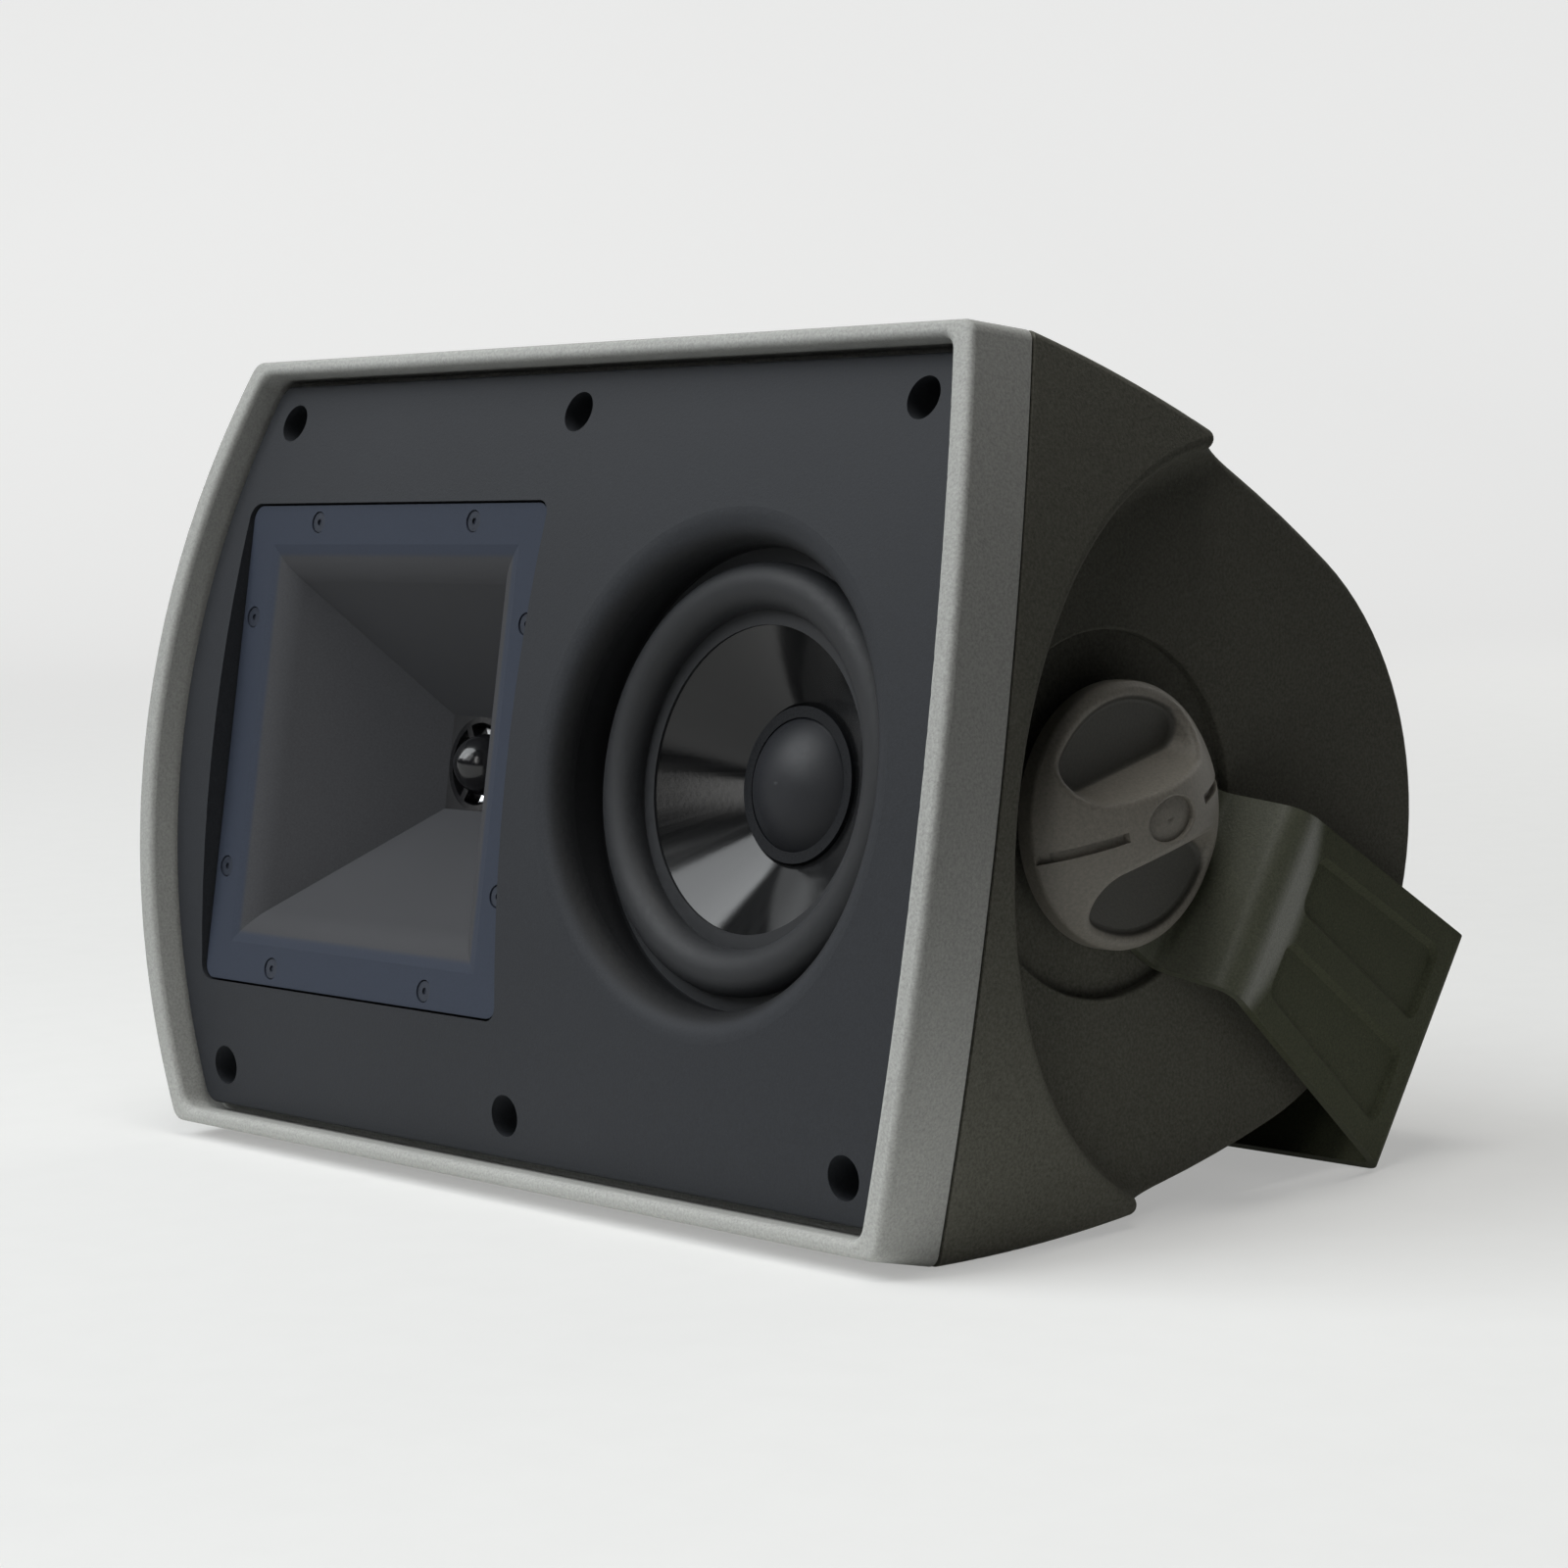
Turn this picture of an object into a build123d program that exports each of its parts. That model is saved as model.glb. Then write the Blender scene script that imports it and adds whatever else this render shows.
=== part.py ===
from build123d import *
import math
import os

# Outdoor patio speaker that lies on its side. It is modelled in the cabinet's own frame: X along
# its length, Y from the front-most point of the bezel towards the back, Z up, in millimetres.
# The last section tips it back onto its bottom and the lower edge of its bracket.

# Body outline
end_margin = 24.0
driver_gap = 12.0
end_bow = 17.0
rim_half_height = 103.5
seam_flare = 1.0
front_sag = 12.0
side_arc_radius = 374.0
rear_arc_radius = 76.5
rear_arc_y = 111.0
wall = 4.0
edge_round = 2.5

# Bezel, seam and baffle, measured back from the bulged front
bezel_depth = 18.6
bezel_corner = 4.0
lip_end = 6.2
lip_side = 4.0
lip_round = 1.7
opening_corner = 5.0
ledge_width = 4.0
groove = 2.0
baffle_inset = 7.2
baffle_thickness = 5.0
baffle_edge_round = 0.8
seam_gap = 1.0
seam_setback = 0.8
seam_width = 3.0

# Recess and knob well in each end
ridge_y = 117.0
ridge_radius = 91.0
ridge_cove = 8.0
knob_y = 75.7
well_radius = 42.5
well_depth = 3.0
well_round = 0.8

# Baffle screws, down six deep holes
hole_end = 33.5
hole_edge = 16.5
hole_radius = 5.1
hole_depth = 14.0
cup_wall = 2.1
cup_floor = 2.5
pillar_radius = 6.0
pillar_end_y = 96.0
screw_clearance = 0.3
screw_bite = 1.0
baffle_screw_radius = 2.0
baffle_screw_head = 4.0
baffle_screw_head_height = 3.0
baffle_screw_grip = 18.0

# Horn
horn_rim = 10.4
horn_flange_thickness = 3.5
horn_flange_corner = 4.0
horn_face_y = 12.5
horn_mouth = 107.2
horn_curl = 17.0
horn_curl_start = 8.0
horn_throat = 25.0
horn_throat_y = 48.0
horn_wall = 2.8
horn_gap = 0.6
tray_wall = 3.5
horn_gasket_thickness = 1.0
horn_screw_inset = 5.9
horn_screw_along = 33.8
horn_screw_radius = 1.5
horn_screw_head = 2.6
horn_screw_sink = 1.6
horn_screw_length = 7.0

# Compression driver behind the horn
throat_disc_radius = 32.0
throat_disc_thickness = 4.0
driver_plate_thickness = 5.0
plug_radius = 8.0
plug_ring = 1.5
plug_reach = 7.0
plug_shoulder = 0.75
plug_shoulder_depth = 0.3
plug_strut = 2.0
plug_struts = 3
diaphragm_rim = 3.5
diaphragm_thickness = 0.5
diaphragm_height = 5.0
driver_magnet_radius = 22.0
driver_magnet_height = 13.0
driver_magnet_lip = 1.0
driver_back_thickness = 5.0
driver_pole_radius = 10.5
driver_screw_circle = 27.0
driver_screw_radius = 1.6
driver_screw_head = 3.0
driver_screw_head_height = 2.0
driver_screws_count = 4

# Woofer
opening_radius = 54.5
opening_roll = 7.0
collar_wall = 5.0
collar_end_y = 23.0
woofer_gasket_thickness = 1.0
basket_radius = 59.0
basket_gap = 1.0
basket_thickness = 2.5
basket_ear_circle = 63.0
basket_ear_radius = 6.0
basket_windows = 6
basket_window_angle = 36.0
basket_wall = 2.2
surround_outer = 50.9
surround_inner = 40.0
surround_height = 6.7
surround_lip = 36.4
surround_thickness = 0.8
cone_thickness = 1.1
cone_depth = 18.0
cone_glue = 3.2
dust_ring_radius = 18.7
dust_ring_width = 2.7
dust_ring_height = 1.2
dust_height = 8.0
dust_thickness = 0.6
coil_radius = 12.9
former_thickness = 0.4
former_length = 24.2
former_lap = 2.0
winding_thickness = 0.6
winding_length = 8.0
spider_y = 49.0
spider_thickness = 0.6
spider_outer = 40.0
spider_waves = 4
spider_wave_height = 2.0
shelf_width = 5.0
shelf_lap = 1.0
motor_seat_clearance = 4.0
motor_y = 58.0
top_plate_radius = 36.0
top_plate_thickness = 6.0
coil_gap = 0.5
magnet_radius = 40.0
magnet_bore = 20.0
magnet_height = 16.0
back_plate_thickness = 6.0
pole_gap = 0.4
pole_vent = 5.0
woofer_screw_radius = 1.6
woofer_screw_head = 3.4
woofer_screw_head_height = 2.2
woofer_screw_grip = 9.0
woofer_boss_wall = 3.2
woofer_boss_gap = 0.3

# Terminal cup and crossover at the back
terminal_pocket_x = 92.0
terminal_pocket_z = 58.0
terminal_pocket_depth = 9.0
terminal_pad_rim = 6.0
terminal_pad_thickness = 6.0
terminal_flange_gap = 0.5
terminal_flange_thickness = 2.5
tray_x = 76.0
tray_z = 42.0
tray_depth = 18.5
tray_skin = 2.5
tray_gap = 0.5
terminal_screw_x = 42.0
terminal_screw_z = 25.0
terminal_screw_radius = 1.5
terminal_screw_head = 2.8
terminal_screw_head_height = 1.6
post_spacing = 30.0
post_radius = 3.0
post_length = 22.0
post_cap_radius = 6.5
post_collar = 1.5
post_cap_length = 11.0
post_flutes = 12
post_flute_radius = 1.0
post_fit = 0.1
standoff_radius = 3.0
standoff_length = 10.0
standoff_x = 34.0
standoff_z = 17.0
board_x = 84.0
board_z = 50.0
board_thickness = 1.6
inductor_radius = 12.0
inductor_bore = 5.0
inductor_height = 12.0
capacitor_radius = 6.0
capacitor_length = 26.0
resistor_x = 22.0
resistor_z = 9.0
resistor_height = 8.0
part_gap = 2.0
board_screw_radius = 1.3
board_screw_head = 2.6
board_screw_head_height = 1.6
board_screw_grip = 6.0

# Clamp knobs, studs and washers
knob_radius = 31.0
knob_height = 19.2
knob_skirt = 4.0
scoop_floor = 5.0
scoop_radius = 27.0
scoop_draft = 18.5
bar_foot = 11.5
bar_round = 2.0
scoop_foot_round = 1.5
scoop_corner = 5.0
knob_turn = 24.5
slot_width = 2.4
slot_depth = 1.8
slot_start = 13.0
oval_long = 15.0
oval_short = 10.0
oval_depth = 1.4
oval_round = 0.5
stud_radius = 4.0
stud_in_knob = 12.0
stud_gap = 1.0
stud_fit = 0.05
insert_radius = 6.5
insert_gap = 1.0
insert_boss_wall = 4.5
rubber_thickness = 1.0
washer_thickness = 1.0
washer_radius = 16.0
clamp_gap = 0.1

# Bracket, a folded sheet drawn pointing straight back from the knobs
sheet = 2.6
bracket_drop = 23.0
hub_radius = 20.0
hub_flat = 32.7
kink_along = 40.4
joggle = 19.5
kink_half_width = 23.9
bracket_reach = 125.2
arm_lean = 12.1
plate_half_width = 31.9
hub_fold = 5.0
kink_fold = 6.0
plate_fold = 4.0
panel_start = 12.0
panel_end = 9.0
panel_edge = 6.5
panel_rib = 3.5
panel_depth = 1.5
panel_corner = 4.0
panel_draft = 45.0
stud_clearance = 0.4
plate_hole_radius = 3.0
plate_hole_circle = 23.0
plate_holes = 4

# Outlines worked out from the sizes above
margin = 12.0
tolerance = 0.01
edge_samples = (0, 0.3, 0.7, 1)
horn_flange = horn_mouth + 2 * horn_rim
opening_outer = opening_radius + opening_roll
half_length = end_margin + (horn_flange + driver_gap) / 2 + opening_outer
horn_x = end_margin + horn_flange / 2 - half_length
woofer_x = half_length - end_margin - opening_outer
recess_x = woofer_x + basket_radius + basket_gap + wall
hole_x = half_length - hole_end
hole_z = rim_half_height - hole_edge
seam_half_height = rim_half_height + seam_flare
reach = half_length + margin
front_radius = (rim_half_height ** 2 + front_sag ** 2) / (2 * front_sag)
end_radius = (rim_half_height ** 2 + end_bow ** 2) / (2 * end_bow)
end_centre = end_radius - half_length
body_depth = rear_arc_y + rear_arc_radius


def front_y(inset, z):
    """Y of the surface that lies inset behind the bulged front, at height z."""
    return front_radius - math.sqrt((front_radius - inset) ** 2 - z ** 2)


rim_y = front_y(0, rim_half_height)
seam_y = front_y(bezel_depth, seam_half_height)


def side_arc_centre():
    """Centre of the long arc that runs from the seam into the rear arc without a corner."""
    seam = Vector(seam_y, seam_half_height)
    rear = Vector(rear_arc_y, 0)
    gap = seam - rear
    span = gap.length
    inner = side_arc_radius - rear_arc_radius
    along = (inner ** 2 - side_arc_radius ** 2 + span ** 2) / (2 * span)
    across = math.sqrt(inner ** 2 - along ** 2)
    unit = gap / span
    return rear + unit * along + Vector(unit.Y, -unit.X) * -across


side_centre = side_arc_centre()


def prism_x(face, x0, x1):
    """Solid between x0 and x1 from a face drawn in Y and Z."""
    return extrude(Plane.YZ.offset(x0) * face, x1 - x0)


def prism_y(face, y0, y1):
    """Solid between y0 and y1 from a face drawn in X and Z."""
    return extrude(Plane.XZ.offset(-y1) * face, y1 - y0)


def turned_y(outline, x):
    """Solid from a (radius, Y) outline spun about a line along Y."""
    return Pos(x, 0, 0) * revolve(outline, Axis.Y)


def turned_x(outline):
    """Solid from an (X, radius) outline spun about the knobs' axis."""
    return Pos(0, knob_y, 0) * revolve(outline, Axis.X)


def ring_y(x, outer, inner, y0, y1):
    """Flat ring about a line along Y."""
    return prism_y(Pos(x, 0) * (Circle(outer) - Circle(inner)), y0, y1)


def rod_y(x, z, radius, y0, y1):
    """Round rod along Y."""
    return prism_y(Pos(x, z) * Circle(radius), y0, y1)


def ring_x(outer, inner, x0, x1):
    """Flat ring about the knobs' axis."""
    face = Circle(outer) - Circle(inner) if inner else Circle(outer)
    return prism_x(Pos(knob_y, 0) * face, x0, x1)


def polygon(*points):
    """Face through the points, kept where they are drawn."""
    return make_face(Polyline(*points, close=True))


def other_end(shape):
    """The same shape at the far end of the cabinet."""
    return mirror(shape, about=Plane.YZ)


def behind_front(inset):
    """Everything behind the surface that lies inset behind the bulged front."""
    return prism_x(Pos(front_radius, 0) * Circle(front_radius - inset), -reach, reach)


def bowed_face(inset, half_height, corner=0):
    """Front outline with bowed ends, drawn in X and Z."""
    radius = end_radius - inset
    tip = math.sqrt(radius ** 2 - end_centre ** 2)
    middle = half_length - inset
    right = ThreePointArc((0, tip), (middle, 0), (0, -tip))
    left = ThreePointArc((0, -tip), (-middle, 0), (0, tip))
    face = make_face([right, left]) & Rectangle(2 * half_length, 2 * half_height)
    return fillet(face.vertices(), corner) if corner else face


def side_face(inset):
    """Cabinet outline in Y and Z, parallel to the outside."""
    side = side_arc_radius - inset
    rear = rear_arc_radius - inset
    centre = Vector(rear_arc_y, 0)
    meet = centre + (centre - side_centre).normalized() * rear

    def height(y):
        return side_centre.Y + math.sqrt(side ** 2 - (y - side_centre.X) ** 2)

    start = height(seam_y)
    half_way = (seam_y + meet.X) / 2
    back = (rear_arc_y + rear, 0)
    edges = [
        Line((-margin, start), (seam_y, start)),
        ThreePointArc((seam_y, start), (half_way, height(half_way)), (meet.X, meet.Y)),
        ThreePointArc((meet.X, meet.Y), back, (meet.X, -meet.Y)),
        ThreePointArc((meet.X, -meet.Y), (half_way, -height(half_way)), (seam_y, -start)),
        Line((seam_y, -start), (-margin, -start)),
        Line((-margin, -start), (-margin, start)),
    ]
    return make_face(edges)


def at_inset(edge, inset):
    """Whether an edge lies on the surface inset behind the bulged front."""
    radius = front_radius - inset
    points = [edge @ share for share in (0, 0.3, 0.7, 1)]
    return all(abs(math.hypot(front_radius - p.Y, p.Z) - radius) < tolerance for p in points)


def make_bezel():
    flare = (seam_half_height - rim_half_height) / (seam_y - rim_y)
    front_half = rim_half_height - flare * (rim_y + margin)
    side = polygon(
        (-margin, front_half), (seam_y, seam_half_height),
        (seam_y, -seam_half_height), (-margin, -front_half),
    )
    outline = prism_y(bowed_face(0, rim_half_height + margin), -margin, seam_y)
    body = prism_x(side, -reach, reach) & outline & behind_front(0)
    corners = [e for e in body.edges() if abs(e.center().Z) > rim_half_height - 1 and abs(e.center().X) > 1]
    body = fillet([e for e in corners if abs((e @ 0).Y - (e @ 1).Y) > bezel_depth / 2], bezel_corner)
    body -= behind_front(bezel_depth)
    opening = bowed_face(lip_end, rim_half_height - lip_side, opening_corner)
    body -= prism_y(opening, -margin, seam_y) - behind_front(baffle_inset + baffle_thickness)
    ledge = bowed_face(lip_end + ledge_width, rim_half_height - lip_side - ledge_width, opening_corner)
    body -= prism_y(ledge, -margin, seam_y + margin)
    return fillet([e for e in body.edges() if at_inset(e, 0)], lip_round)


def make_seam_gasket():
    front = behind_front(bezel_depth) - behind_front(bezel_depth + seam_gap)
    outer = bowed_face(seam_setback, seam_half_height - seam_setback, bezel_corner)
    inset = seam_setback + seam_width
    inner = bowed_face(inset, seam_half_height - inset, bezel_corner)
    return front & prism_y(outer - inner, 0, seam_y + margin)


def end_recess(grow):
    """Cutter for the stepped recess at the right end, grown by a wall for the cavity."""
    radius = ridge_radius + grow
    back = body_depth + margin
    face = Pos(ridge_y, 0) * Circle(radius)
    face += Pos((ridge_y + back) / 2, 0) * Rectangle(back - ridge_y, 2 * radius)
    cutter = prism_x(face, recess_x - grow, reach)
    floor = cutter.faces().sort_by(Axis.X)[0]
    return fillet(floor.edges(), ridge_cove + grow)


def knob_well(grow):
    """Cutter for the round well under the right knob, grown by a wall for the cavity."""
    return ring_x(well_radius + grow, 0, recess_x - well_depth - grow, reach)


def screw_places():
    """X and Z of the six screws that hold the baffle."""
    return [(x, z) for z in (hole_z, -hole_z) for x in (-hole_x, 0, hole_x)]


cup_end_y = front_y(baffle_inset, hole_z) + hole_depth + cup_floor
well_floor_x = recess_x - well_depth
inner_end_x = well_floor_x - wall
stud_in_cabinet = inner_end_x - woofer_x - magnet_radius - stud_gap
insert_length = stud_in_cabinet - insert_gap
terminal_floor_y = body_depth - terminal_pocket_depth
terminal_pad_y = terminal_floor_y - terminal_pad_thickness


def terminal_screw_places():
    columns = (-terminal_screw_x, terminal_screw_x)
    rows = (-terminal_screw_z, terminal_screw_z)
    return [(x, z) for x in columns for z in rows]


def on_skin(point):
    """Whether a point lies on the cabinet's bowed ends, its long sides or its curved back."""
    end = math.hypot(abs(point.X) + end_centre, point.Z) - end_radius
    side = math.hypot(point.Y - side_centre.X, abs(point.Z) - side_centre.Y) - side_arc_radius
    back = math.hypot(point.Y - rear_arc_y, point.Z) - rear_arc_radius
    return min(abs(end), abs(side), abs(back)) < tolerance


def outer_corners(body, end):
    """Sharp edges round one end of the cabinet, 1 or -1, apart from the seam's."""
    ends = [e for e in body.edges() if end * (e @ 0.5).X > woofer_x]
    ends = [e for e in ends if not at_inset(e, bezel_depth + seam_gap)]
    return [e for e in ends if all(on_skin(e @ share) for share in edge_samples)]


def well_rims(body):
    """Edges where the knob wells meet the floor of the recess."""
    def on_rim(point):
        off = abs(math.hypot(point.Y - knob_y, point.Z) - well_radius)
        return off < tolerance and abs(point.X) > recess_x - tolerance
    return [e for e in body.edges() if all(on_rim(e @ share) for share in edge_samples)]


def make_cabinet():
    front = behind_front(bezel_depth + seam_gap)
    outline = prism_y(bowed_face(0, seam_half_height + margin), -margin, body_depth + margin)
    outer = prism_x(side_face(0), -reach, reach) & outline & front
    for cutter in (end_recess(0), knob_well(0)):
        outer -= cutter
        outer -= other_end(cutter)
    for end in (1, -1):
        outer = fillet(outer_corners(outer, end), edge_round)
    outer = fillet(well_rims(outer), well_round)
    cavity = prism_x(side_face(wall), -reach, reach)
    cavity &= prism_y(bowed_face(wall, seam_half_height), -margin, body_depth + margin)
    for cutter in (end_recess(wall), knob_well(wall)):
        cavity -= cutter
        cavity -= other_end(cutter)
    shell = outer - cavity
    for x, z in screw_places():
        pillar = rod_y(x, z, pillar_radius, cup_end_y, pillar_end_y) & outer
        shell += pillar
        shell -= rod_y(x, z, baffle_screw_radius, cup_end_y - margin, cup_end_y + baffle_screw_grip)
    boss = ring_x(insert_radius + insert_boss_wall, 0, inner_end_x - insert_length, inner_end_x)
    bore = ring_x(insert_radius, 0, inner_end_x - insert_length, reach)
    pad = Box(
        terminal_pocket_x + 2 * terminal_pad_rim, margin + terminal_pocket_depth + terminal_pad_thickness,
        terminal_pocket_z + 2 * terminal_pad_rim,
    )
    pad_middle = (terminal_pad_y + body_depth + margin) / 2
    shell += boss + other_end(boss) + (Pos(0, pad_middle, 0) * pad & outer)
    shell -= bore + other_end(bore)
    shell -= prism_y(Rectangle(terminal_pocket_x, terminal_pocket_z), terminal_floor_y, body_depth + margin)
    tray_hole = Rectangle(tray_x + 2 * tray_gap, tray_z + 2 * tray_gap)
    shell -= prism_y(tray_hole, terminal_pad_y - margin, body_depth)
    for x, z in terminal_screw_places():
        shell -= rod_y(x, z, terminal_screw_radius, terminal_pad_y + screw_bite, body_depth)
    return shell


horn_back_y = horn_face_y + horn_flange_thickness
horn_seat_y = horn_back_y + horn_gasket_thickness


def horn_screw_places():
    """X and Z of the eight flange screws, two on each side of the square."""
    screw_across = horn_mouth / 2 + horn_screw_inset
    sides = [(along, across) for across in (-screw_across, screw_across)
             for along in (-horn_screw_along, horn_screw_along)]
    places = sides + [(across, along) for along, across in sides]
    return [(horn_x + x, z) for x, z in places]


def basket_ear_places():
    """X and Z of the four ears of the woofer frame."""
    across = basket_ear_circle / math.sqrt(2)
    return [(woofer_x + x, z) for x in (-across, across) for z in (-across, across)]


woofer_boss_radius = woofer_screw_radius + woofer_boss_wall
surround_flange = basket_ear_circle - woofer_boss_radius - woofer_boss_gap
surround_y = collar_end_y + woofer_gasket_thickness
basket_y = surround_y + surround_thickness
basket_back_y = basket_y + basket_thickness


def make_baffle():
    front = behind_front(baffle_inset)
    outline = bowed_face(lip_end + groove, rim_half_height - lip_side - groove, opening_corner)
    body = prism_y(outline, -margin, seam_y + margin) & front
    body = fillet([e for e in body.edges() if at_inset(e, baffle_inset)], baffle_edge_round)
    body -= behind_front(baffle_inset + baffle_thickness)
    tray_side = horn_flange + 2 * (horn_gap + tray_wall)
    tray = prism_y(Pos(horn_x, 0) * Rectangle(tray_side, tray_side), 0, horn_seat_y + tray_wall)
    collar = rod_y(woofer_x, 0, opening_radius + collar_wall, 0, collar_end_y)
    body += tray & front
    body += collar & front
    for x, z in basket_ear_places():
        body += rod_y(x, z, woofer_boss_radius, 0, basket_y) & front
    for x, z in screw_places():
        body += rod_y(x, z, hole_radius + cup_wall, 0, cup_end_y) & front
    body -= rod_y(woofer_x, 0, opening_radius, -margin, collar_end_y + margin)
    mouth = [e for e in body.edges() if at_inset(e, baffle_inset)
             and abs(math.hypot((e @ 0.5).X - woofer_x, (e @ 0.5).Z) - opening_radius) < tolerance]
    body = fillet(mouth, opening_roll)
    for x, z in basket_ear_places():
        body -= rod_y(x, z, woofer_screw_radius, basket_y - woofer_screw_grip, basket_y + margin)
    for x, z in screw_places():
        body -= rod_y(x, z, hole_radius, -margin, cup_end_y - cup_floor)
        body -= rod_y(x, z, baffle_screw_radius + screw_clearance, 0, cup_end_y + margin)
    pocket = RectangleRounded(horn_flange + 2 * horn_gap, horn_flange + 2 * horn_gap, horn_flange_corner)
    body -= prism_y(Pos(horn_x, 0) * pocket, -margin, horn_seat_y)
    throat_hole = horn_mouth + 2 * horn_gap
    body -= prism_y(Pos(horn_x, 0) * Rectangle(throat_hole, throat_hole), 0, horn_seat_y + margin)
    for x, z in horn_screw_places():
        body -= rod_y(x, z, horn_screw_radius, horn_face_y, horn_face_y + horn_screw_length)
    return body


def make_baffle_screws():
    screws = []
    floor = cup_end_y - cup_floor
    for x, z in screw_places():
        head = rod_y(x, z, baffle_screw_head, floor - baffle_screw_head_height, floor)
        socket = rod_y(x, z, baffle_screw_head / 2, floor - margin, floor - baffle_screw_head_height / 2)
        screws.append(head - socket + rod_y(x, z, baffle_screw_radius, floor, cup_end_y + baffle_screw_grip))
    return screws


def horn_flare(half_mouth, half_throat, y0, y1, curl, lead):
    """Solid with straight sloping walls in X, which curl out to the mouth, and wide in Z."""
    start = math.radians(horn_curl_start)
    centre = Vector(half_mouth + curl * math.sin(start), y0 + curl * math.cos(start))
    way = Vector(half_throat, y1) - centre
    turn = math.atan2(way.Y, way.X) + math.acos(curl / way.length)
    middle = (turn + math.radians(270) - start) / 2

    def on_curl(angle, side):
        return (side * (centre.X + curl * math.cos(angle)), centre.Y + curl * math.sin(angle))

    edges = []
    for side in (1, -1):
        mouth = (side * half_mouth, y0)
        foot = on_curl(turn, side)
        edges += [
            Line((0, y0 - lead), (mouth[0], y0 - lead)), Line((mouth[0], y0 - lead), mouth),
            ThreePointArc(mouth, on_curl(middle, side), foot), Line(foot, (side * half_throat, y1)),
            Line((side * half_throat, y1), (0, y1)),
        ]
    return extrude(make_face(edges), half_mouth + margin, both=True)


def square_flare(*sizes):
    """Square flare with walls that meet at mitred corners."""
    one = horn_flare(*sizes)
    return Pos(horn_x, 0, 0) * (one & Rot(Y=90) * one)


def make_horn():
    flange = RectangleRounded(horn_flange, horn_flange, horn_flange_corner)
    body = prism_y(Pos(horn_x, 0) * flange, horn_face_y, horn_back_y)
    half_mouth = horn_mouth / 2
    half_throat = horn_throat / 2
    lead = horn_flange_thickness / 2
    outer_curl = horn_curl - horn_wall
    body += square_flare(half_mouth, half_throat + horn_wall, horn_back_y, horn_throat_y, outer_curl, lead)
    body += rod_y(horn_x, 0, throat_disc_radius, horn_throat_y - throat_disc_thickness, horn_throat_y)
    body -= square_flare(half_mouth, half_throat, horn_face_y, horn_throat_y, horn_curl, margin)
    for x, z in horn_screw_places():
        hole = horn_screw_radius + screw_clearance
        body -= rod_y(x, z, hole, horn_face_y - margin, horn_back_y + margin)
        sink = horn_face_y + horn_screw_sink
        body -= rod_y(x, z, horn_screw_head + screw_clearance, horn_face_y - margin, sink)
    for x, z in driver_screw_places():
        body -= rod_y(x, z, driver_screw_radius, horn_throat_y - throat_disc_thickness, horn_throat_y)
    return body


def make_horn_gasket():
    outer = RectangleRounded(horn_flange, horn_flange, horn_flange_corner)
    inner = Rectangle(horn_mouth + 2 * horn_gap, horn_mouth + 2 * horn_gap)
    ring = prism_y(Pos(horn_x, 0) * (outer - inner), horn_back_y, horn_seat_y)
    for x, z in horn_screw_places():
        ring -= rod_y(x, z, horn_screw_radius + screw_clearance, horn_back_y, horn_seat_y)
    return ring


def make_horn_screws():
    screws = []
    seat = horn_face_y + horn_screw_sink
    for x, z in horn_screw_places():
        head = rod_y(x, z, horn_screw_head, horn_face_y + screw_clearance, seat)
        head -= rod_y(x, z, horn_screw_head / 3, horn_face_y, (horn_face_y + seat) / 2)
        screws.append(head + rod_y(x, z, horn_screw_radius, seat, horn_face_y + horn_screw_length))
    return screws


def driver_screw_places():
    """X and Z of the screws that hold the driver to the horn."""
    turn = 2 * math.pi / driver_screws_count
    angles = [turn * (i + 0.5) for i in range(driver_screws_count)]
    return [(horn_x + driver_screw_circle * math.cos(a), driver_screw_circle * math.sin(a)) for a in angles]


exit_radius = horn_throat / 2
driver_plate_y = horn_throat_y + driver_plate_thickness
diaphragm_rim_radius = exit_radius + diaphragm_rim
driver_magnet_y = driver_plate_y + diaphragm_thickness
driver_back_y = driver_magnet_y + driver_magnet_height


def make_driver_plate():
    plate = ring_y(horn_x, throat_disc_radius, exit_radius, horn_throat_y, driver_plate_y)
    for x, z in driver_screw_places():
        plate -= rod_y(x, z, driver_screw_radius + screw_clearance, horn_throat_y, driver_plate_y)
    return plate


def make_phase_plug():
    """Bullet in the throat on three struts, with the ring that holds it in the plate."""
    plug = ring_y(horn_x, exit_radius, exit_radius - plug_ring, horn_throat_y, driver_plate_y)
    tip = horn_throat_y - plug_reach
    foot = (plug_radius, driver_plate_y)
    shoulder = (plug_radius * plug_shoulder, tip + (driver_plate_y - tip) * plug_shoulder_depth)
    nose = ThreePointArc((0, tip), shoulder, foot)
    edges = [nose, Line(foot, (0, driver_plate_y)), Line((0, driver_plate_y), (0, tip))]
    plug += turned_y(make_face(edges), horn_x)
    strut = Pos(plug_radius, 0) * Rectangle(2 * (exit_radius - plug_radius), plug_strut)
    for i in range(plug_struts):
        arm = Rot(Y=i * 360 / plug_struts) * prism_y(strut, horn_throat_y, driver_plate_y)
        plug += Pos(horn_x, 0, 0) * arm & rod_y(horn_x, 0, exit_radius - plug_ring / 2, 0, body_depth)
    return plug


def dome_face(radius, height, y, thickness):
    """Half section of a thin dome that bulges towards the front."""
    outer = (radius ** 2 + height ** 2) / (2 * height)
    centre = y - height + outer
    inner = outer - thickness

    def point(ball, share):
        angle = math.asin(radius / outer) * share
        return (ball * math.sin(angle), centre - ball * math.cos(angle))

    edges = [
        ThreePointArc(point(outer, 0), point(outer, 0.5), point(outer, 1)),
        Line(point(outer, 1), point(inner, 1)),
        ThreePointArc(point(inner, 1), point(inner, 0.5), point(inner, 0)),
        Line(point(inner, 0), point(outer, 0)),
    ]
    return make_face(edges)


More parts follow.
